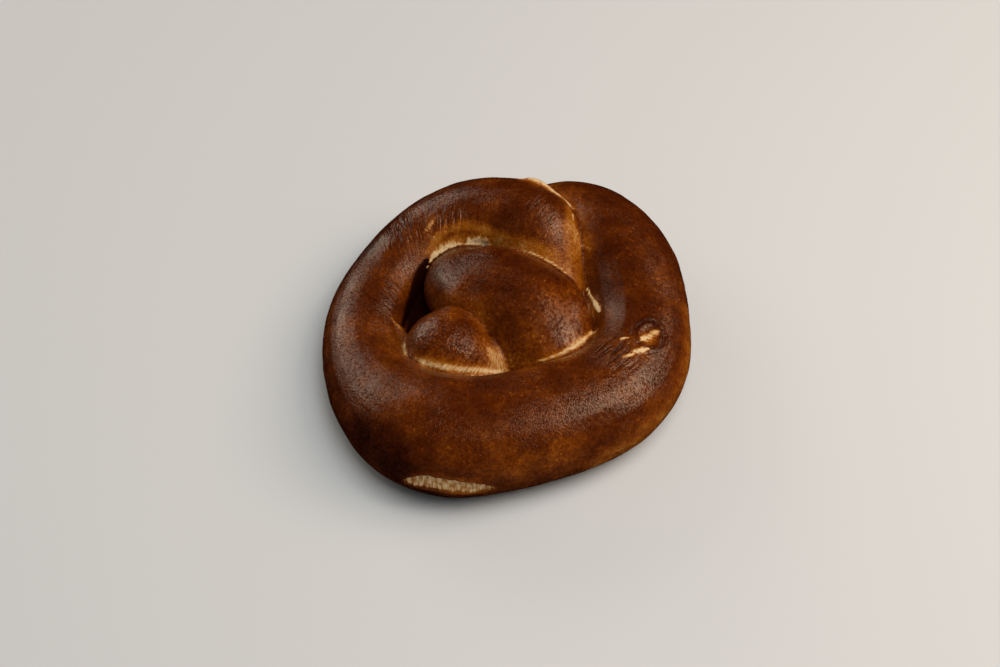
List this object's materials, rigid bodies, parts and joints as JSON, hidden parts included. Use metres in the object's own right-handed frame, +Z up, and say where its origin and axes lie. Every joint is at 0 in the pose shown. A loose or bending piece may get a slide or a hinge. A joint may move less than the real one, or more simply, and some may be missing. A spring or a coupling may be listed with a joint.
{
  "type": "soft pretzel",
  "caption": "Baked soft pretzel, one fat rope of dough tied in a compact loop with its arms crossed, resting on its flat base.",
  "frame": {"origin": "middle of the bounding box's base, on the surface that the pretzel rests on", "axes": "+Z up from the baked flat base; -Y towards the belly, the thick middle of the rope; +X to the right, towards the arm that dives under at the back"},
  "size_m": [0.1156, 0.119, 0.034],
  "materials": {
    "crust": "baked crust, glossy brown with a soft sheen and pale torn dough"
  },
  "bodies": {
    "root": {"pretzel": "crust"}
  },
  "joints": []
}
